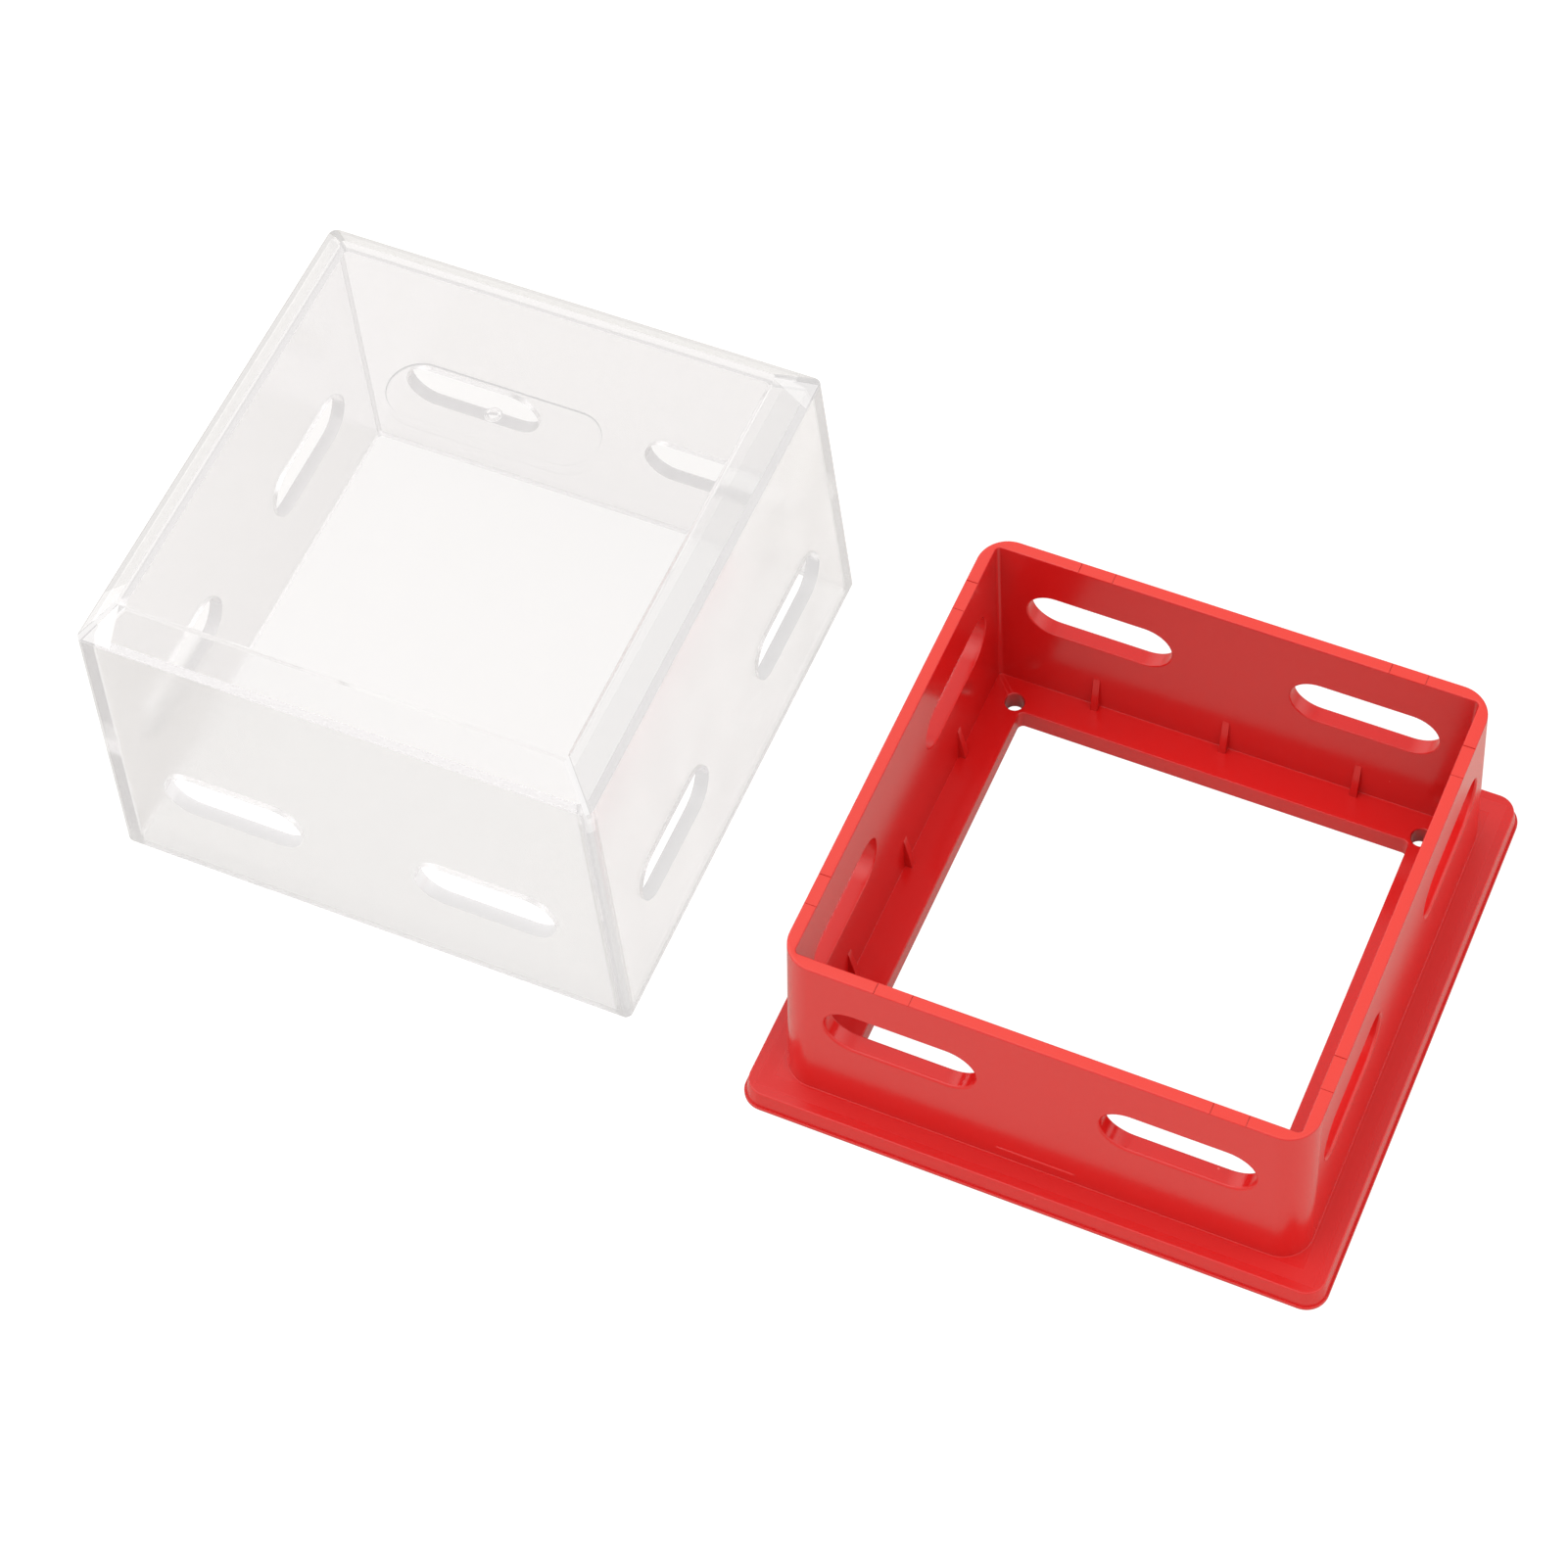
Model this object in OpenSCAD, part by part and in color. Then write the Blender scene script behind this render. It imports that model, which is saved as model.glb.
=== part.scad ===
// Protective cover for a manual fire alarm call point: a red mounting frame
// that is screwed to the wall around the call point, and a clear cover that
// pushes over the frame's upstand and lifts straight off.
//
// The frame lies on its back on the XY plane. +Z points away from the wall.
// The origin is the centre of the four screw holes, on the frame's back face.
// The cover stands on its rim beside the frame, on the same plane.

/* [Frame flange] */
// Width of the square flange over its bottom lip
flange_w = 111.6; // [108:0.1:125]
// Thickness of the flange, and of the ledge inside the upstand
flange_t = 4.6; // [3:0.1:8]
// Corner radius of the flange
flange_r = 3.9; // [2:0.1:10]
// Height of the thin lip round the bottom of the flange
lip_h = 0.9; // [0.4:0.1:2]
// How far the lip stands out past the flange's side face
lip_step = 0.35; // [0.1:0.05:1]
// How far the flange's side face leans in from the lip to the top
flange_draft = 0.45; // [0.1:0.05:1]
// Size of the rounded top edge of the flange
flange_edge = 0.3; // [0.1:0.1:1]

/* [Frame upstand] */
// Outside width of the upstand where it meets the flange
upstand_w = 100; // [99:0.1:100.2]
// Outside width of the upstand at its rim
upstand_top_w = 97; // [95:0.1:97.2]
// Height of the upstand above the flange
upstand_h = 40.7; // [36:0.1:44]
// Outside corner radius of the upstand
upstand_r = 6; // [3:0.1:9]
// Inside width of the upstand at the ledge
bay_w = 91.6; // [90:0.1:94]
// Inside width of the upstand at its rim
bay_top_w = 92.3; // [91.6:0.1:94]
// Inside corner radius of the upstand
bay_r = 0.9; // [0.5:0.1:3]

/* [Frame details] */
// Width of the square window in the back
window_w = 77.8; // [70:0.1:80]
// Corner radius of the window
window_r = 1.2; // [0.5:0.1:3]
// Diameter of the four screw holes
screw_d = 3.8; // [3:0.1:4]
// Distance between screw holes, along X and along Y
screw_pitch = 81.2; // [80:0.1:83]
// Distance between the centring ribs along a wall
rib_pitch = 26; // [20:0.5:30]
// Width of a centring rib
rib_w = 1.5; // [1:0.1:2.5]
// How far a centring rib stands out from the wall at the ledge
rib_out = 1.5; // [0.8:0.1:2]
// Height of a centring rib above the ledge
rib_h = 8.5; // [4:0.5:11]
// Length of the thin bead low on the upstand's front and back
bead_l = 15; // [8:1:30]
// How far the bead stands out
bead_out = 0.18; // [0.05:0.01:0.22]

/* [Slots] */
// End-to-end length of a slot
slot_l = 28.8; // [20:0.1:32]
// Height of a slot
slot_h = 11.4; // [8:0.1:13]
// Distance of a slot's middle from the middle of its wall
slot_x = 25.8; // [22:0.1:28]
// Height of a slot's middle above the cover's rim
slot_z = 24; // [20:0.1:28]

/* [Cover] */
// Outside width of the cover at its rim
cover_w = 106; // [105.9:0.1:108]
// Outside width of the cover where its chamfer starts
cover_shoulder_w = 101; // [100.9:0.1:104]
// Height of the wall up to the chamfer
cover_shoulder_z = 65.2; // [60:0.1:75]
// Size of the chamfer round the closed top
cover_chamfer = 6.2; // [5:0.1:10]
// Thickness of the cover's walls and top
cover_wall = 2.75; // [2:0.05:2.8]
// Outside corner radius of the cover's walls
cover_r = 1.6; // [1:0.1:3]
// Length of the shallow label recess in the top
recess_l = 42; // [30:0.5:60]
// Width of the label recess
recess_w = 12.2; // [8:0.1:16]
// Depth of the label recess
recess_d = 0.35; // [0.1:0.05:0.8]
// Distance of the label recess from the middle of the top
recess_y = 17.7; // [0:0.1:30]

/* [Layout] */
// Where the cover stands beside the frame, along X
cover_x = -134.3; // [-180:0.1:-115]
// Where the cover stands beside the frame, along Y
cover_y = 5; // [-30:0.1:30]
// How far the cover is turned beside the frame
cover_turn = 0.3; // [-3:0.1:3]

/* [Hidden] */
e = 0.01;
upstand_z = flange_t + upstand_h;
flange_side_w = flange_w - 2 * lip_step;
top_z = cover_shoulder_z + cover_chamfer;
// The wall keeps its thickness round the chamfer, so the inside chamfer is
// smaller and starts lower than the outside one.
in_shoulder_z = cover_shoulder_z - cover_wall * tan(22.5);
in_chamfer = cover_chamfer - 2 * cover_wall * tan(22.5) * sin(45);
function cover_width(z) = cover_w - (cover_w - cover_shoulder_w) * z / cover_shoulder_z;

// Four thin discs at the corners of a square: one level of a moulding.
module level(w, r, z, t = 0.02) {
    for (sx = [-1, 1], sy = [-1, 1])
        translate([sx * (w / 2 - r), sy * (w / 2 - r), z])
            cylinder(r = r, h = t, $fn = 32);
}

// A square plate with round corners, in exact cylinders and planes.
module plate(w, r, z0, z1) {
    translate([0, 0, z0]) {
        translate([-w / 2, -w / 2 + r, 0]) cube([w, w - 2 * r, z1 - z0]);
        translate([-w / 2 + r, -w / 2, 0]) cube([w - 2 * r, w, z1 - z0]);
        for (sx = [-1, 1], sy = [-1, 1])
            translate([sx * (w / 2 - r), sy * (w / 2 - r), 0])
                cylinder(r = r, h = z1 - z0, $fn = 48);
    }
}

// A slot with round ends, cut through a wall that faces -Y.
module slot(y0, y1, z) {
    translate([0, y0, z]) rotate([-90, 0, 0]) {
        for (s = [-1, 1])
            translate([s * (slot_l - slot_h) / 2, 0, 0])
                cylinder(d = slot_h, h = y1 - y0, $fn = 64);
        translate([-(slot_l - slot_h) / 2, -slot_h / 2, 0])
            cube([slot_l - slot_h, slot_h, y1 - y0]);
    }
}

// Two slots in each of the four walls.
module slots(y0, y1, z) {
    for (a = [0, 90, 180, 270], s = [-1, 1])
        rotate([0, 0, a]) translate([s * slot_x, 0, 0]) slot(y0, y1, z);
}

// A tapered rib that centres the call point on the ledge.
module rib() {
    translate([rib_w / 2, 0, flange_t - e]) rotate([90, 0, -90])
        linear_extrude(rib_w)
            polygon([[-bay_w / 2 - 0.6, 0], [-bay_w / 2 + rib_out, 0],
                     [-bay_w / 2 + rib_out * 0.75, rib_h * 0.35],
                     [-bay_w / 2 - 0.02, rib_h], [-bay_w / 2 - 0.6, rib_h]]);
}

module mounting_frame() {
    color([0.80, 0.07, 0.07]) difference() {
        union() {
            plate(flange_w, flange_r + lip_step, 0, lip_h);
            hull() {
                level(flange_side_w, flange_r, 0);
                level(flange_side_w, flange_r, lip_h);
                level(flange_side_w - 2 * flange_draft, flange_r - 0.1, flange_t - flange_edge);
                level(flange_side_w - 2 * flange_draft - 2 * flange_edge, flange_r - 0.1 - flange_edge, flange_t - 0.02);
            }
            difference() {
                union() {
                    hull() {
                        level(upstand_w, upstand_r, flange_t - 0.5);
                        level(upstand_top_w, upstand_r, upstand_z - 0.02);
                    }
                    for (a = [0, 180]) rotate([0, 0, a])
                        translate([-bead_l / 2, -upstand_w / 2 - bead_out + 0.1, flange_t + 2.5])
                            cube([bead_l, 1, 0.6]);
                }
                hull() {
                    level(bay_w, bay_r, flange_t);
                    level(bay_top_w, bay_r, upstand_z + 1);
                }
            }
            for (a = [0, 90, 180, 270], s = [-1, 0, 1])
                rotate([0, 0, a]) translate([s * rib_pitch, 0, 0]) rib();
        }
        plate(window_w, window_r, -1, flange_t + 1);
        for (sx = [-1, 1], sy = [-1, 1])
            translate([sx * screw_pitch / 2, sy * screw_pitch / 2, -1])
                cylinder(d = screw_d, h = flange_t + 2, $fn = 48);
        slots(-upstand_w / 2 - 2, -bay_w / 2 + 2, flange_t + slot_z);
    }
}

module clear_cover() {
    color([0.86, 0.90, 0.92, 0.35])
    translate([cover_x, cover_y, 0]) rotate([0, 0, cover_turn]) difference() {
        hull() {
            level(cover_w, cover_r, 0);
            level(cover_shoulder_w, cover_r, cover_shoulder_z);
            level(cover_shoulder_w - 2 * cover_chamfer, 0.8, top_z - 0.02);
        }
        hull() {
            level(cover_w - 2 * cover_wall + 0.1, 0.8, -1);
            level(cover_width(in_shoulder_z) - 2 * cover_wall, 0.8, in_shoulder_z);
            level(cover_width(in_shoulder_z) - 2 * cover_wall - 2 * in_chamfer, 0.5, top_z - cover_wall - 0.02);
        }
        slots(-cover_w / 2 - 2, -cover_shoulder_w / 2 + cover_wall + 2, slot_z);
        translate([0, recess_y, top_z - recess_d]) difference() {
            union() {
                for (s = [-1, 1]) translate([s * (recess_l - recess_w) / 2, 0, 0])
                    cylinder(d = recess_w, h = 2, $fn = 64);
                translate([-(recess_l - recess_w) / 2, -recess_w / 2, 0])
                    cube([recess_l - recess_w, recess_w, 2]);
            }
            // Gate mark left by moulding
            translate([0, 0, -e]) cylinder(d = 2.6, h = recess_d * 0.7, $fn = 32);
        }
    }
}

mounting_frame();
clear_cover();
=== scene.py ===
import bpy, bmesh, math
from mathutils import Matrix, Vector


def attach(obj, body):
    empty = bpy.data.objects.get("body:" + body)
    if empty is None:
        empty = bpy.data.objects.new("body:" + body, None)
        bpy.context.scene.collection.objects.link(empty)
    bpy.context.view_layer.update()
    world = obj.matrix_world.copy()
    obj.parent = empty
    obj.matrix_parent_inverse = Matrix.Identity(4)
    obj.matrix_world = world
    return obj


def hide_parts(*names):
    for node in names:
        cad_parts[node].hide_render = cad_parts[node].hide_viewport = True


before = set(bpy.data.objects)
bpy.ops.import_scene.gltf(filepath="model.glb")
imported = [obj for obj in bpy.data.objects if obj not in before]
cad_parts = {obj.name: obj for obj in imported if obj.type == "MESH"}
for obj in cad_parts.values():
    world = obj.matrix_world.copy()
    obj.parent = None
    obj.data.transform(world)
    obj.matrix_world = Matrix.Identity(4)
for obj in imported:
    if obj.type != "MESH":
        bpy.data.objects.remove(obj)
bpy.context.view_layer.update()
scene = bpy.context.scene
MM = 0.001

# ------------------------------------------------------------------ mesh tools


def square_loop(h, r, z, n=14, cx=0.0, cy=0.0):
    """One level of a moulding: a square of half width h with corners of radius r."""
    r = max(r, 0.02)
    pts = []
    for sx, sy, a0 in ((1, 1, 0), (-1, 1, 90), (-1, -1, 180), (1, -1, 270)):
        for k in range(n + 1):
            a = math.radians(a0 + 90 * k / n)
            pts.append((cx + sx * (h - r) + r * math.cos(a), cy + sy * (h - r) + r * math.sin(a), z))
    return pts


def loft(name, loops, ring=False, caps=True):
    """Skin over loops of equal length, in mm: closed with caps, or joined end to start."""
    bm = bmesh.new()
    rows = [[bm.verts.new((x * MM, y * MM, z * MM)) for x, y, z in lp] for lp in loops]
    n = len(rows[0])
    pairs = list(zip(rows[:-1], rows[1:])) + ([(rows[-1], rows[0])] if ring else [])
    for a, b in pairs:
        for i in range(n):
            j = (i + 1) % n
            bm.faces.new((a[i], a[j], b[j], b[i]))
    if caps and not ring:
        bm.faces.new(list(reversed(rows[0])))
        bm.faces.new(rows[-1])
    bmesh.ops.recalc_face_normals(bm, faces=bm.faces)
    me = bpy.data.meshes.new(name)
    bm.to_mesh(me)
    bm.free()
    o = bpy.data.objects.new(name, me)
    scene.collection.objects.link(o)
    return o


def rounded(path, steps=4):
    """(h, z, r_corner, edge radius) points of a profile; every edge with a radius becomes an arc."""
    out = []
    m = len(path)
    for i, (h, z, rc, er) in enumerate(path):
        if er <= 0 or i in (0, m - 1):
            out.append((h, z, rc))
            continue
        p = Vector((h, z)); a = Vector(path[i - 1][:2]); b = Vector(path[i + 1][:2])
        ua = (a - p).normalized(); ub = (b - p).normalized()
        half = math.acos(max(-1, min(1, ua.dot(ub)))) / 2
        t = er / math.tan(half)
        t = min(t, 0.45 * (a - p).length, 0.45 * (b - p).length)
        er2 = t * math.tan(half)
        centre = p + (ua + ub).normalized() * (er2 / math.sin(half))
        s = p + ua * t - centre; e = p + ub * t - centre
        a0 = math.atan2(s.y, s.x); d = (math.atan2(e.y, e.x) - a0 + math.pi) % (2 * math.pi) - math.pi
        for k in range(steps + 1):
            ang = a0 + d * k / steps
            q = centre + Vector((math.cos(ang), math.sin(ang))) * er2
            out.append((q.x, q.y, rc + (q.x - h)))
    return out


def stadium(length, height, grow, n=20):
    """Outline of a slot with round ends, grown outward by grow."""
    r = height / 2
    s = length / 2 - r
    pts = []
    for side, a0 in ((1, -90), (-1, 90)):
        for k in range(n + 1):
            a = math.radians(a0 + 180 * k / n)
            pts.append((side * s + (r + grow) * math.cos(a), (r + grow) * math.sin(a)))
    return pts


def mouth(er, outward, steps=5, start=14):
    """Offsets and depths of a rounded mouth of radius er: a flare that crosses the surface at an angle, then an arc into the hole."""
    a0 = math.radians(start)
    o0, d0 = er * (1 - math.sin(a0)), er * (1 - math.cos(a0))
    rows = [(o0 + (outward + d0) / math.tan(a0), -outward)]
    for k in range(steps + 1):
        a = a0 + (math.pi / 2 - a0) * k / steps
        rows.append((er * (1 - math.sin(a)), er * (1 - math.cos(a))))
    return rows


def slot_cutter(name, turn, sx, zc, length, height, outer, inner, er_out, er_in):
    """Cutter for one slot. outer and inner give the wall's half width at a height, so both mouths follow the drafted faces."""
    rows = [(o, lambda z, d=d: outer(z) - d) for o, d in mouth(er_out, 0.4)]
    rows += [(o, lambda z, d=d: inner(z) + d) for o, d in reversed(mouth(er_in, 0.4))]
    loops = []
    c, s = math.cos(math.radians(turn)), math.sin(math.radians(turn))
    for grow, y_of in rows:
        lp = []
        for px, pz in stadium(length, height, grow):
            x, z = sx + px, zc + pz
            y = -y_of(z)
            lp.append((x * c - y * s, x * s + y * c, z))
        loops.append(lp)
    return loft(name, loops)


def turned_box(name, x0, x1, y0, y1, z0, z1, turn=0, bevel=0.0):
    """A block, its edges softened when bevel is given, turned about Z."""
    bm = bmesh.new()
    vs = [bm.verts.new(Vector((x, y, z)) * MM) for z in (z0, z1) for y in (y0, y1) for x in (x0, x1)]
    for f in ((0, 2, 3, 1), (4, 5, 7, 6), (0, 1, 5, 4), (2, 6, 7, 3), (0, 4, 6, 2), (1, 3, 7, 5)):
        bm.faces.new([vs[i] for i in f])
    if bevel:
        bmesh.ops.bevel(bm, geom=bm.edges[:], offset=bevel * MM, segments=2, affect="EDGES")
    bmesh.ops.recalc_face_normals(bm, faces=bm.faces)
    bmesh.ops.rotate(bm, verts=bm.verts, cent=(0, 0, 0), matrix=Matrix.Rotation(math.radians(turn), 3, "Z"))
    me = bpy.data.meshes.new(name)
    bm.to_mesh(me)
    bm.free()
    o = bpy.data.objects.new(name, me)
    scene.collection.objects.link(o)
    return o


def combine(target, tools, operation):
    """Exact boolean of all tools with target, one after the other, then the tools go."""
    for t in tools:
        m = target.modifiers.new("op", "BOOLEAN")
        m.operation = operation
        m.object = t
        m.solver = "EXACT"
    dg = bpy.context.evaluated_depsgraph_get()
    me = bpy.data.meshes.new_from_object(target.evaluated_get(dg))
    target.modifiers.clear()
    old = target.data
    target.data = me
    bpy.data.meshes.remove(old)
    for t in tools:
        d = t.data
        bpy.data.objects.remove(t)
        bpy.data.meshes.remove(d)
    return target


def tidy(o, angle=24):
    """Welds leftovers, removes loose and sliver geometry, shades smooth with sharp edges where faces really meet at an angle."""
    bm = bmesh.new()
    bm.from_mesh(o.data)
    bmesh.ops.remove_doubles(bm, verts=bm.verts, dist=0.000004)
    bmesh.ops.dissolve_degenerate(bm, dist=0.000004, edges=bm.edges)
    loose = [v for v in bm.verts if not v.link_faces]
    bmesh.ops.delete(bm, geom=loose, context="VERTS")
    for f in bm.faces:
        f.smooth = True
    lim = math.radians(angle)
    for e in bm.edges:
        e.smooth = not (len(e.link_faces) != 2 or e.calc_face_angle(0) > lim)
    bad = sum(1 for e in bm.edges if len(e.link_faces) != 2)
    print("mesh", o.name, "faces", len(bm.faces), "edges not shared by two faces", bad)
    bm.to_mesh(o.data)
    bm.free()
    w = o.modifiers.new("weighted", "WEIGHTED_NORMAL")
    w.mode = "FACE_AREA"
    w.weight = 60
    w.keep_sharp = True
    return o


# ------------------------------------------------------------------ materials


class Nodes:
    def __init__(self, name):
        self.mat = bpy.data.materials.new(name)
        self.mat.use_nodes = True
        self.t = self.mat.node_tree
        self.t.nodes.clear()
        self.out = self.t.nodes.new("ShaderNodeOutputMaterial")

    def new(self, kind, **values):
        n = self.t.nodes.new("ShaderNode" + kind)
        for k, v in values.items():
            if k.startswith("_"):
                setattr(n, k[1:], v)
            else:
                n.inputs[k.replace("__", " ")].default_value = v
        return n

    def link(self, a, b):
        self.t.links.new(a, b)

    def ramp(self, fac, stops):
        n = self.t.nodes.new("ShaderNodeValToRGB")
        while len(n.color_ramp.elements) < len(stops):
            n.color_ramp.elements.new(0.5)
        for e, (p, c) in zip(n.color_ramp.elements, stops):
            e.position = p
            e.color = (c, c, c, 1) if not hasattr(c, "__len__") else (*c, 1)
        self.link(fac, n.inputs["Fac"])
        return n

    def math(self, op, a, b=None, c=None, clamp=False):
        n = self.t.nodes.new("ShaderNodeMath")
        n.operation = op
        n.use_clamp = clamp
        for i, v in enumerate((a, b, c)):
            if v is None:
                continue
            if isinstance(v, (int, float)):
                n.inputs[i].default_value = v
            else:
                self.link(v, n.inputs[i])
        return n.outputs[0]


def red_plastic():
    k = Nodes("red_abs")
    co = k.new("TexCoord")
    sep = k.new("SeparateXYZ")
    k.link(co.outputs["Object"], sep.inputs[0])
    geo = k.new("NewGeometry")
    nrm = k.new("SeparateXYZ")
    k.link(geo.outputs["True Normal"], nrm.inputs[0])
    # spark-eroded grain on the flange's top face only, with a smooth border
    ax = k.math("ABSOLUTE", sep.outputs[0])
    ay = k.math("ABSOLUTE", sep.outputs[1])
    far = k.math("MAXIMUM", ax, ay)
    inside = k.math("SMOOTH_MIN", k.math("MULTIPLY", k.math("SUBTRACT", 0.0533, far), 2500.0), 1.0, 0.2)
    outside = k.math("MULTIPLY", k.math("SUBTRACT", far, 0.0503), 2500.0)
    band = k.math("MULTIPLY", k.math("MAXIMUM", k.math("MINIMUM", inside, 1.0), 0.0), k.math("MAXIMUM", k.math("MINIMUM", outside, 1.0), 0.0))
    up = k.math("GREATER_THAN", nrm.outputs[2], 0.98)
    low = k.math("LESS_THAN", sep.outputs[2], 0.006)
    grain_mask = k.math("MULTIPLY", k.math("MULTIPLY", up, low), band)
    fine = k.new("TexNoise", Scale=2600.0, Detail=3.0, Roughness=0.6)
    k.link(co.outputs["Object"], fine.inputs["Vector"])
    # flow and sink waves that every moulding has
    broad = k.new("TexNoise", Scale=22.0, Detail=2.0, Roughness=0.45)
    k.link(co.outputs["Object"], broad.inputs["Vector"])
    specks = k.new("TexVoronoi", Scale=150.0)
    k.link(co.outputs["Object"], specks.inputs["Vector"])
    speck = k.math("LESS_THAN", specks.outputs["Distance"], 0.035)
    spick = k.new("TexWhiteNoise")
    k.link(specks.outputs["Position"], spick.inputs["Vector"])
    speck = k.math("MULTIPLY", speck, k.math("GREATER_THAN", spick.outputs["Value"], 0.93))
    b = k.new("BsdfPrincipled")
    tone = k.new("MixRGB", _blend_type="MIX")
    tone.inputs[1].default_value = (0.555, 0.0080, 0.0080, 1)
    tone.inputs[2].default_value = (0.575, 0.0100, 0.0094, 1)
    k.link(broad.outputs["Fac"], tone.inputs[0])
    # matched: with the fitted lights alone the rim and the ledge come out too dark, so their red is lighter
    rim_mask = k.math("MULTIPLY", up, k.math("GREATER_THAN", sep.outputs[2], 0.0449))
    ledge_mask = k.math("MULTIPLY", k.math("MULTIPLY", up, low), k.math("LESS_THAN", far, 0.0460))
    # painted light: the rim's top face gets a lighter red that stands in for light from above the fitted lights leave
    # out
    rim_painted_light = k.new("MixRGB", _blend_type="MIX")
    rim_painted_light.inputs[2].default_value = (0.615, 0.0330, 0.0240, 1)
    k.link(rim_mask, rim_painted_light.inputs[0])
    k.link(tone.outputs[0], rim_painted_light.inputs[1])
    # painted light: the ledge's top face gets a lighter red that stands in for light the fitted lights leave out there
    ledge_painted_light = k.new("MixRGB", _blend_type="MIX")
    ledge_painted_light.inputs[2].default_value = (0.635, 0.0085, 0.0085, 1)
    k.link(ledge_mask, ledge_painted_light.inputs[0])
    k.link(rim_painted_light.outputs[0], ledge_painted_light.inputs[1])
    dusty = k.new("MixRGB", _blend_type="MIX")
    dusty.inputs[2].default_value = (0.86, 0.22, 0.19, 1)
    k.link(k.math("MULTIPLY", speck, 0.35), dusty.inputs[0])
    k.link(ledge_painted_light.outputs[0], dusty.inputs[1])
    k.link(dusty.outputs[0], b.inputs["Base Color"])
    rough = k.math("ADD", k.math("MULTIPLY", broad.outputs["Fac"], 0.05), 0.165)
    rough = k.math("ADD", rough, k.math("MULTIPLY", grain_mask, 0.20))
    k.link(rough, b.inputs["Roughness"])
    b.inputs["IOR"].default_value = 1.52
    b.inputs["Subsurface Weight"].default_value = 0.0
    bump1 = k.new("Bump", Strength=0.05, Distance=0.0006)
    k.link(broad.outputs["Fac"], bump1.inputs["Height"])
    bump2 = k.new("Bump", Distance=0.00003)
    k.link(k.math("MULTIPLY", grain_mask, 0.55), bump2.inputs["Strength"])
    k.link(fine.outputs["Fac"], bump2.inputs["Height"])
    k.link(bump1.outputs[0], bump2.inputs["Normal"])
    k.link(bump2.outputs[0], b.inputs["Normal"])
    # painted light: mirrored inside the clear cover it shows as a pale painted glow, an emission that stands for pale
    # surround, so that no red smears show there;
    # seen straight through the cover it stays red
    lp = k.new("LightPath")
    inside = k.math("MULTIPLY", k.math("GREATER_THAN", lp.outputs["Glossy Depth"], 0.5), k.math("GREATER_THAN", lp.outputs["Transmission Depth"], 0.5))
    painted_pale_glow = k.new("Emission", Color=(1.0, 0.99, 0.985, 1), Strength=0.95)
    last = k.new("MixShader")
    k.link(inside, last.inputs[0])
    k.link(b.outputs[0], last.inputs[1])
    k.link(painted_pale_glow.outputs[0], last.inputs[2])
    k.link(last.outputs[0], k.out.inputs[0])
    if hasattr(k.mat, "cycles"):
        k.mat.cycles.emission_sampling = "NONE"
    return k.mat


VEIL = 0.015
WALL_ROUGH = 0.19
GLOW = 0.68
GLOW_FRONT = 0.95
EDGE_LINE = 0.65
EDGE_UPRIGHT = 0.35
RIGHT_WALL = 3.6
EDGE_SLOT = 0.4
EDGE_RIM = 0.5
EDGE_RIGHT = 0.22
GLOW_FAR = 1.0
EDGE_FAR = 0.42


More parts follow.
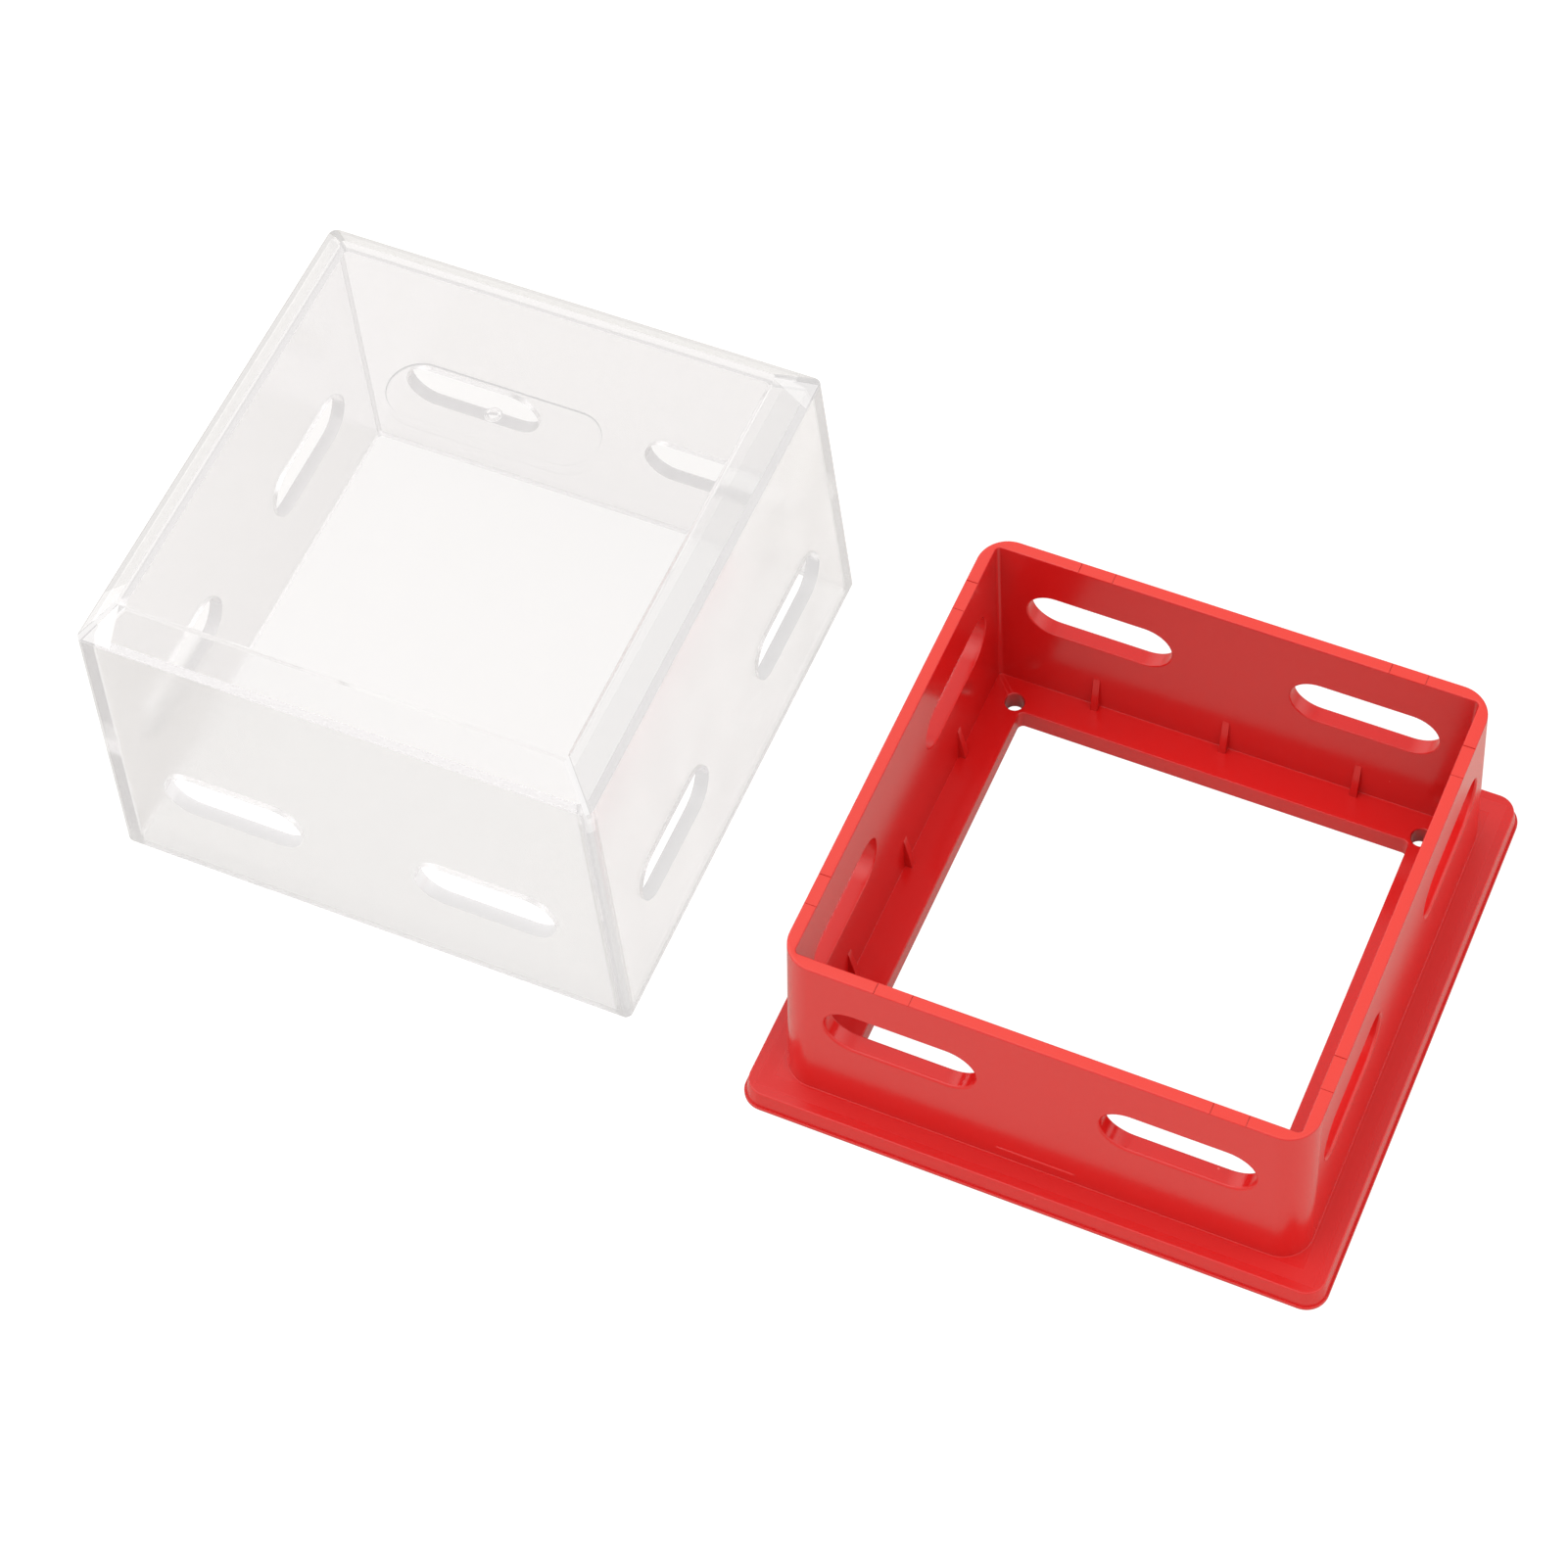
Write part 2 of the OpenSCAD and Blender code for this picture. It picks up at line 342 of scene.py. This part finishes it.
def clear_plastic():
    k = Nodes("clear_polycarbonate")
    co = k.new("TexCoord")
    broad = k.new("TexNoise", Scale=14.0, Detail=1.0, Roughness=0.4)
    k.link(co.outputs["Object"], broad.inputs["Vector"])
    bump = k.new("Bump", Strength=0.06, Distance=0.0008)
    k.link(broad.outputs["Fac"], bump.inputs["Height"])
    g = k.new("BsdfGlass", IOR=1.52)
    g.distribution = "MULTI_GGX"
    g.inputs["Color"].default_value = (1.0, 0.996, 0.998, 1)
    # polished top, satin walls
    sep = k.new("SeparateXYZ")
    k.link(co.outputs["Object"], sep.inputs[0])
    geo = k.new("NewGeometry")
    nrm = k.new("SeparateXYZ")
    k.link(geo.outputs["True Normal"], nrm.inputs[0])
    flat = k.ramp(k.math("ABSOLUTE", nrm.outputs[2]), ((0.0, 0.0), (0.30, 0.0), (0.55, 0.5), (0.85, 0.5), (0.98, 1.0)))
    polish = k.math("MULTIPLY", flat.outputs["Color"], k.math("GREATER_THAN", sep.outputs[2], 0.0600))
    rough = k.math("SUBTRACT", WALL_ROUGH, k.math("MULTIPLY", polish, WALL_ROUGH - 0.015))
    rough = k.math("ADD", rough, k.math("MULTIPLY", broad.outputs["Fac"], 0.01))
    k.link(rough, g.inputs["Roughness"])
    k.link(bump.outputs[0], g.inputs["Normal"])
    d = k.new("BsdfDiffuse")
    d.inputs["Color"].default_value = (0.90, 0.895, 0.895, 1)
    tr = k.new("BsdfTranslucent")
    tr.inputs["Color"].default_value = (0.90, 0.895, 0.895, 1)
    both = k.new("MixShader")
    both.inputs[0].default_value = 0.5
    k.link(d.outputs[0], both.inputs[1])
    k.link(tr.outputs[0], both.inputs[2])
    # handling haze: a few rubbed patches scatter a little more
    haze = k.new("TexNoise", Scale=60.0, Detail=4.0, Roughness=0.6)
    k.link(co.outputs["Object"], haze.inputs["Vector"])
    veil = k.math("ADD", k.math("MULTIPLY", k.math("SUBTRACT", haze.outputs["Fac"], 0.5), 0.02), VEIL)
    # matched: with the fitted lights alone the right-hand wall comes out too dark, so it gets a faint light of its own
    upwall = k.math("GREATER_THAN", k.math("ABSOLUTE", nrm.outputs[0]), 0.95)
    righthand = k.math("MULTIPLY", k.math("GREATER_THAN", sep.outputs[0], -0.0885), upwall)
    side = k.new("Emission", Color=(1.0, 0.99, 0.985, 1))
    k.link(k.math("MULTIPLY", righthand, RIGHT_WALL), side.inputs["Strength"])
    body = k.new("AddShader")
    k.link(both.outputs[0], body.inputs[0])
    k.link(side.outputs[0], body.inputs[1])
    mix = k.new("MixShader")
    k.link(veil, mix.inputs[0])
    k.link(g.outputs[0], mix.inputs[1])
    k.link(body.outputs[0], mix.inputs[2])
    # matched: rays that go deep inside the moulding end as a pale glow, not as black
    # (its level is given, higher in the front wall than elsewhere)
    front = k.math("LESS_THAN", sep.outputs[1], -0.0350)
    beside = k.math("MAXIMUM", k.math("LESS_THAN", sep.outputs[0], -0.0883), k.math("GREATER_THAN", sep.outputs[2], 0.0600))
    nx = k.math("ABSOLUTE", nrm.outputs[0])
    right = k.math("MULTIPLY", k.math("GREATER_THAN", sep.outputs[0], -0.0900), k.math("GREATER_THAN", sep.outputs[2], 0.0640))
    right = k.math("MULTIPLY", right, k.math("MULTIPLY", k.math("GREATER_THAN", nx, 0.5), k.math("LESS_THAN", nx, 0.9)))
    above = k.math("GREATER_THAN", sep.outputs[2], 0.0013)
    front = k.math("MULTIPLY", k.math("MULTIPLY", front, beside), k.math("MULTIPLY", above, k.math("SUBTRACT", 1.0, right)))
    lp = k.new("LightPath")
    deep = k.math("MAXIMUM", k.math("GREATER_THAN", lp.outputs["Glossy Depth"], 1.5), k.math("GREATER_THAN", lp.outputs["Ray Depth"], 7.5))
    nz = k.math("ABSOLUTE", nrm.outputs[2])
    # painted light: parts of the left and back chamfer flats get a brighter painted glow (GLOW_FAR), mixed in by
    # EDGE_FAR
    far = k.math("MAXIMUM", k.math("LESS_THAN", sep.outputs[0], -0.1775), k.math("GREATER_THAN", sep.outputs[1], 0.0485))
    far = k.math("MULTIPLY", far, k.math("GREATER_THAN", sep.outputs[2], 0.0655))
    far = k.math("MULTIPLY", far, k.math("MULTIPLY", k.math("GREATER_THAN", nz, 0.66), k.math("LESS_THAN", nz, 0.76)))
    reach = k.math("MAXIMUM", k.math("ABSOLUTE", k.math("ADD", sep.outputs[0], 0.1343)), k.math("ABSOLUTE", k.math("SUBTRACT", sep.outputs[1], 0.0050)))
    far = k.math("MULTIPLY", far, k.math("GREATER_THAN", k.math("ADD", reach, sep.outputs[2]), 0.1137))
    far = k.math("MULTIPLY", far, k.math("SUBTRACT", 1.0, deep))
    glow = k.new("Emission")
    level = k.math("ADD", k.math("MULTIPLY", front, GLOW_FRONT - GLOW), k.math("MULTIPLY", far, GLOW_FAR - GLOW))
    k.link(k.math("ADD", level, GLOW), glow.inputs["Strength"])
    glow.inputs["Color"].default_value = (1.0, 0.985, 0.98, 1)
    # matched: part of the same glow on the fine roundings, most on shoulders and rim, less on the upright corners
    lip = k.math("MAXIMUM", k.math("GREATER_THAN", sep.outputs[2], 0.0600), k.math("LESS_THAN", sep.outputs[2], 0.0013))
    low = k.math("MULTIPLY", k.math("GREATER_THAN", nz, 0.12), k.math("LESS_THAN", nz, 0.64))
    high = k.math("MULTIPLY", k.math("GREATER_THAN", nz, 0.78), k.math("LESS_THAN", nz, 0.965))
    line = k.math("MULTIPLY", k.math("MAXIMUM", low, high), lip)
    upright = k.math("GREATER_THAN", k.math("MINIMUM", k.math("ABSOLUTE", nrm.outputs[0]), k.math("ABSOLUTE", nrm.outputs[1])), 0.2)
    line = k.math("MULTIPLY", line, k.math("ADD", k.math("MULTIPLY", front, 0.22), EDGE_LINE))
    edge = k.math("MAXIMUM", line, k.math("MULTIPLY", upright, EDGE_UPRIGHT))
    # the same painted glow also on the slots' own faces, the rim's flat and the chamfers
    slot = k.math("MULTIPLY", k.math("GREATER_THAN", sep.outputs[2], 0.0175), k.math("LESS_THAN", sep.outputs[2], 0.0305))
    slot = k.math("MULTIPLY", slot, k.math("GREATER_THAN", nz, 0.2))
    rim = k.math("MULTIPLY", k.math("LESS_THAN", sep.outputs[2], 0.0013), k.math("GREATER_THAN", nz, 0.9))
    more = k.math("MAXIMUM", k.math("MULTIPLY", slot, EDGE_SLOT), k.math("MULTIPLY", rim, EDGE_RIM))
    edge = k.math("MAXIMUM", edge, k.math("MAXIMUM", more, k.math("MAXIMUM", k.math("MULTIPLY", right, EDGE_RIGHT), k.math("MULTIPLY", far, EDGE_FAR))))
    last = k.new("MixShader")
    k.link(k.math("MAXIMUM", deep, edge), last.inputs[0])
    k.link(mix.outputs[0], last.inputs[1])
    k.link(glow.outputs[0], last.inputs[2])
    k.link(last.outputs[0], k.out.inputs[0])
    if hasattr(k.mat, "cycles"):
        k.mat.cycles.emission_sampling = "NONE"
    return k.mat


FLOOR_DIFFUSE = (0.82, 0.795, 0.73, 1)
FLOOR_SEEN = 0.93       # share of its own light where the floor is looked at directly
FLOOR_THROUGH = 0.90    # the same through the clear cover
FLOOR_MIRROR = 0.60     # the same where the floor shows as a gloss reflection
FLOOR_LEVEL = 0.945
FLOOR_GLOSS = 0.40


def floor_white():
    """A plain matt floor. Its own faint glow clears the shadows away where it is looked at, as on a light table, and leaves them in what it throws on the object."""
    k = Nodes("studio_floor")
    co = k.new("TexCoord")
    n = k.new("TexNoise", Scale=3.0, Detail=2.0)
    k.link(co.outputs["Object"], n.inputs["Vector"])
    d = k.new("BsdfDiffuse")
    d.inputs["Color"].default_value = FLOOR_DIFFUSE
    e = k.new("Emission")
    lp = k.new("LightPath")
    cam_ray = lp.outputs["Is Camera Ray"]
    through_ray = lp.outputs["Is Transmission Ray"]
    gloss_ray = k.math("MULTIPLY", lp.outputs["Is Glossy Ray"], k.math("SUBTRACT", 1.0, through_ray))
    level = k.math("ADD", k.math("MULTIPLY", cam_ray, 1.12), k.math("MULTIPLY", through_ray, FLOOR_LEVEL))
    level = k.math("ADD", level, k.math("MULTIPLY", gloss_ray, FLOOR_GLOSS))
    k.link(k.math("MULTIPLY", level, k.math("ADD", k.math("MULTIPLY", n.outputs["Fac"], 0.006), 0.997)), e.inputs["Strength"])
    tint = k.new("MixRGB")
    tint.inputs[1].default_value = (1.0, 0.991, 0.983, 1)
    tint.inputs[2].default_value = (1.0, 0.985, 0.91, 1)
    k.link(gloss_ray, tint.inputs[0])
    k.link(tint.outputs[0], e.inputs["Color"])
    share = k.math("MAXIMUM", k.math("MULTIPLY", cam_ray, FLOOR_SEEN), k.math("MULTIPLY", through_ray, FLOOR_THROUGH))
    share = k.math("MAXIMUM", share, k.math("MULTIPLY", gloss_ray, FLOOR_MIRROR))
    m = k.new("MixShader")
    k.link(share, m.inputs[0])
    k.link(d.outputs[0], m.inputs[1])
    k.link(e.outputs[0], m.inputs[2])
    k.link(m.outputs[0], k.out.inputs[0])
    if hasattr(k.mat, "cycles"):
        k.mat.cycles.emission_sampling = "NONE"
    return k.mat


# ------------------------------------------------------------------ red frame
FT = 4.6            # flange and ledge thickness
UZ = 45.3           # rim height


def up_out(z):
    return 50.0 - 1.45 * (z - FT) / 40.7


def up_in(z):
    return 45.8 + 0.35 * (z - FT) / 40.7


profile = [
    # half width, z, corner radius, edge radius
    (38.9, 1.0, 1.2, 0),
    (38.9, 0.0, 1.2, 0.15),
    (55.8, 0.0, 4.3, 0.15),
    (55.8, 0.9, 4.3, 0.13),
    (55.37, 0.83, 3.85, 0.04),
    (55.42, 0.98, 3.9, 0),
    (54.87, FT, 3.75, 0.28),
    (up_out(FT), FT, 6.0, 0.12),
    (up_out(UZ), UZ, 6.0, 0.28),
    (up_in(UZ), UZ, 0.9, 0.26),
    (up_in(FT), FT, 0.9, 0.1),
    (38.9, FT, 1.2, 0.22),
    (38.9, 3.0, 1.2, 0),
]
red = loft("frame_moulding", [square_loop(h, r, z) for h, z, r in rounded(profile)], ring=True)

# centring ribs: three on each inner wall, standing on the ledge
ribs = []
for turn in (0, 90, 180, 270):
    for s in (-25.9, 0.1, 26.0):
        loops = []
        c, sn = math.cos(math.radians(turn)), math.sin(math.radians(turn))
        for z, out, half in ((FT - 0.8, 1.5, 0.75), (FT + 0.2, 1.5, 0.75), (FT + 2.8, 1.14, 0.73), (FT + 7.6, 0.28, 0.68), (FT + 8.5, 0.02, 0.62)):
            y_in, y_out = -(up_in(z) + 0.8), -(up_in(z) - out)
            b = min(0.18, out * 0.45)
            ring = [(-half, y_in), (half, y_in), (half, y_out - b), (half - 0.3 * b, y_out - 0.3 * b), (half - b, y_out), (-half + b, y_out), (-half + 0.3 * b, y_out - 0.3 * b), (-half, y_out - b)]
            loops.append([((s + x) * c - y * sn, (s + x) * sn + y * c, z) for x, y in ring])
        ribs.append(loft("rib", loops))
combine(red, ribs, "UNION")

# thin beads low on the upstand's front and back, which grip the cover's rim
beads = []
for turn in (0, 180):
    c, sn = math.cos(math.radians(turn)), math.sin(math.radians(turn))
    zb = FT + 2.8
    loops = []
    for x, g in ((-7.6, 0.05), (-7.2, 0.75), (-6.6, 1.0), (6.6, 1.0), (7.2, 0.75), (7.6, 0.05)):
        ring = []
        for k in range(13):
            a = math.pi * k / 12
            ring.append((-(up_out(zb) + 0.2 * g * math.sin(a)), zb - 0.36 * g * math.cos(a)))
        ring += [(-(up_out(zb) - 0.6), zb + 0.3 * g), (-(up_out(zb) - 0.6), zb - 0.3 * g)]
        loops.append([(x * c - y * sn, x * sn + y * c, z) for y, z in ring])
    beads.append(loft("bead", loops))
combine(red, beads, "UNION")

cuts = []
for turn in (0, 90, 180, 270):
    for sx in (-25.8, 25.8):
        cuts.append(slot_cutter("slot", turn, sx, FT + 24.0, 28.6, 11.2, up_out, up_in, 0.55, 0.28))
for sx in (-1, 1):
    for sy in (-1, 1):
        loops = []
        for grow, z in [(g, FT - d) for g, d in mouth(0.22, 0.3)] + [(0.0, 0.2), (0.12, 0.08), (0.3, -0.3)]:
            loops.append([(sx * 40.6 + (1.9 + grow) * math.cos(2 * math.pi * k / 48), sy * 40.6 + (1.9 + grow) * math.sin(2 * math.pi * k / 48), z) for k in range(48)])
        cuts.append(loft("hole", loops))
# faint marks of the ejector blades on the rim
for turn, spans in ((0, ((-30.3, -23.8), (30.8, 37.2))), (90, ((-37.0, -30.2), (30.0, 36.6))), (180, ((-36.0, -29.2), (23.6, 30.2))), (270, ((-37.2, -30.6), (30.0, 36.4)))):
    for a, b in spans:
        cuts.append(turned_box("mark", a, b, -49.6, -45.2, UZ - 0.08, UZ + 0.5, turn))
        for e in (a, b):
            cuts.append(turned_box("line", e - 0.07, e + 0.07, -49.6, -45.2, UZ - 0.22, UZ + 0.5, turn))
combine(red, cuts, "DIFFERENCE")
tidy(red)
red.data.materials.clear()
red.data.materials.append(red_plastic())
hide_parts("mounting_frame")
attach(red, "frame")

# ------------------------------------------------------------------ clear cover
CW, CS, SZ, CC, T = 53.0, 50.5, 65.2, 6.2, 2.75
TZ = SZ + CC


def cov_out(z):
    return CW - (CW - CS) * z / SZ


def cov_in(z):
    return cov_out(z) - T


in_sz = SZ - T * math.tan(math.radians(22.5))
in_cc = CC - 2 * T * math.tan(math.radians(22.5)) * math.sin(math.radians(45))
cprofile = [
    (cov_in(in_sz) - in_cc - 0.6, TZ - T, 0.5, 0),
    (cov_in(in_sz) - in_cc, TZ - T, 0.6, 0.14),
    (cov_in(in_sz), in_sz, 0.8, 0.14),
    (cov_in(0), 0.0, 0.8, 0.1),
    (CW, 0.0, 1.6, 0.1),
    (CS, SZ, 1.6, 0.12),
    (CS - CC, TZ, 0.9, 0.13),
    (CS - CC - 1.4, TZ, 0.6, 0),
]
cover = loft("cover_moulding", [square_loop(h, r, z, 8) for h, z, r in rounded(cprofile, 5)])
cuts = []
for turn in (0, 90, 180, 270):
    c, sn = math.cos(math.radians(turn)), math.sin(math.radians(turn))
    for sx in (-25.8, 25.8):
        outline = [(sx + px, 24.0 + pz) for px, pz in stadium(28.7, 11.3, 0)]
        cuts.append(loft("slot", [[(x * c - y * sn, x * sn + y * c, z) for x, z in outline] for y in (-60, -45)]))
# shallow label recess in the top, a gate mark in its middle
loops = []
for grow, d in [(0.5, -0.5), (0.06, -0.06), (0.0, 0.04), (-0.06, 0.3), (-0.16, 0.35)]:
    loops.append([(x, 17.7 + y, TZ - d) for x, y in stadium(42.2, 12.3, grow, 28)])
cuts.append(loft("recess", loops))
# the tool's split shows as a fine step just above the rim, on the front and the right
cuts.append(turned_box("step", -22.0, 31.0, -54.0, -CW + 0.12, -0.5, 0.75))
cuts.append(turned_box("step", 31.0, 60.0, -54.0, -CW + 0.14, -0.5, 1.15))
cuts.append(turned_box("step", -60.0, 60.0, -54.0, -CW + 0.10, -0.5, 0.95, 90))
combine(cover, cuts, "DIFFERENCE")
gate = []
for r, z in ((1.75, TZ - 0.9), (1.75, TZ - 0.36), (1.62, TZ - 0.31), (1.30, TZ - 0.31), (1.18, TZ - 0.34), (0.95, TZ - 0.34), (0.82, TZ - 0.22), (0.45, TZ - 0.19)):
    gate.append([(r * math.cos(2 * math.pi * k / 36), 17.7 + r * math.sin(2 * math.pi * k / 36), z) for k in range(36)])
combine(cover, [loft("gate", gate)], "UNION")
tidy(cover)
cover.data.materials.clear()
cover.data.materials.append(clear_plastic())
cover.data.transform(Matrix.Translation((-134.3 * MM, 5.0 * MM, 0)) @ Matrix.Rotation(math.radians(0.3), 4, "Z"))
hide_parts("clear_cover")
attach(cover, "cover")

# ------------------------------------------------------------------ stage
bm = bmesh.new()
ring0 = [bm.verts.new((3.2 * math.cos(2 * math.pi * k / 64) - 0.07, 3.2 * math.sin(2 * math.pi * k / 64), -0.00006)) for k in range(64)]
bm.faces.new(ring0)
me = bpy.data.meshes.new("floor")
bm.to_mesh(me)
bm.free()
floor = bpy.data.objects.new("floor", me)
scene.collection.objects.link(floor)
me.materials.append(floor_white())

# the studio: a soft surround built from broad lobes, each (azimuth, elevation, level)
LOBES = [(0, 90, 0.014)]
LOBES += [(118.7 + 60 * k, 55, v) for k, v in enumerate((0.000, 1.700, 1.100, 0.395, 0.830, 0.000))]
LOBES += [(253 + 45 * k, 20, v) for k, v in enumerate((0.000, 0.000, 0.620, 1.020, 0.000, 0.361, 0.930, 0.439))]
LOBE_POWER = 8.0
FRONT_PANEL = 0.4
WORLD_BASE = 0.626
WORLD_TINT = (1.0, 0.985, 0.94, 1)
world = bpy.data.worlds.new("studio")
scene.world = world
world.use_nodes = True
wt = world.node_tree
bg = wt.nodes["Background"]
tc = wt.nodes.new("ShaderNodeTexCoord")


def world_math(op, a, b=None):
    n = wt.nodes.new("ShaderNodeMath")
    n.operation = op
    for i, v in enumerate((a, b)):
        if isinstance(v, (int, float)):
            n.inputs[i].default_value = v
        elif v is not None:
            wt.links.new(v, n.inputs[i])
    return n.outputs[0]


total = None
for a, e, level in LOBES:
    if level <= 0:
        continue
    dot = wt.nodes.new("ShaderNodeVectorMath")
    dot.operation = "DOT_PRODUCT"
    dot.inputs[1].default_value = (math.cos(math.radians(e)) * math.cos(math.radians(a)), math.cos(math.radians(e)) * math.sin(math.radians(a)), math.sin(math.radians(e)))
    wt.links.new(tc.outputs["Generated"], dot.inputs[0])
    lobe = world_math("MULTIPLY", world_math("POWER", world_math("MAXIMUM", dot.outputs["Value"], 0.0), LOBE_POWER), level)
    total = lobe if total is None else world_math("ADD", total, lobe)
warm = wt.nodes.new("ShaderNodeMixRGB")
warm.blend_type = "MULTIPLY"
warm.inputs[0].default_value = 1.0
tint = wt.nodes.new("ShaderNodeMixRGB")
tint.inputs[1].default_value = WORLD_TINT
tint.inputs[2].default_value = (1.0, 0.993, 0.985, 1)
lpt = wt.nodes.new("ShaderNodeLightPath")
wt.links.new(world_math("GREATER_THAN", lpt.outputs["Transmission Depth"], 0.5), tint.inputs[0])
wt.links.new(tint.outputs[0], warm.inputs[2])
wt.links.new(world_math("ADD", 0.0 if total is None else total, WORLD_BASE), warm.inputs[1])
lpw = wt.nodes.new("ShaderNodeLightPath")
see = wt.nodes.new("ShaderNodeMixRGB")
wt.links.new(lpw.outputs["Is Camera Ray"], see.inputs[0])
wt.links.new(warm.outputs[0], see.inputs[1])
see.inputs[2].default_value = (1, 1, 1, 1)
wt.links.new(see.outputs[0], bg.inputs["Color"])
bg.inputs["Strength"].default_value = 1.0


# a panel in front that only shows as a reflection, on the cover's front chamfer and the front edges
ld = bpy.data.lights.new("front_panel", "AREA")
ld.shape = "RECTANGLE"
ld.size, ld.size_y = 1.3, 0.55
ld.energy = FRONT_PANEL
panel = bpy.data.objects.new("front_panel", ld)
scene.collection.objects.link(panel)
panel.location = (-0.07 - 0.257 * 1.5, -0.844 * 1.5, 0.05 + 0.470 * 1.5)
panel.rotation_mode = "QUATERNION"
panel.rotation_quaternion = (Vector((-0.1, 0, 0.05)) - panel.location).to_track_quat("-Z", "Y")
panel.visible_diffuse = False

scene.view_settings.view_transform = "Standard"
scene.view_settings.look = "None"

# camera from the fitted view of the two mouldings
az, el, roll = 0.50095, 1.00494, -0.10054
back = Vector((math.sin(az) * math.cos(el), -math.cos(az) * math.cos(el), math.sin(el)))
fwd = -back
right = fwd.cross(Vector((0, 0, 1))).normalized()
up = right.cross(fwd)
r2 = right * math.cos(roll) + up * math.sin(roll)
u2 = -right * math.sin(roll) + up * math.cos(roll)
R = Matrix((r2, u2, back))
pos = -(R.transposed() @ Vector((64.93, -31.447, -734.6))) * MM
M = R.transposed().to_4x4()
M.translation = pos
cd = bpy.data.cameras.new("cam")
cd.sensor_width = 36
cd.lens = 4071 / 1601 * 36
cd.clip_start, cd.clip_end = 0.01, 20
cam = bpy.data.objects.new("cam", cd)
scene.collection.objects.link(cam)
cam.matrix_world = M
scene.camera = cam

bpy.context.view_layer.update()
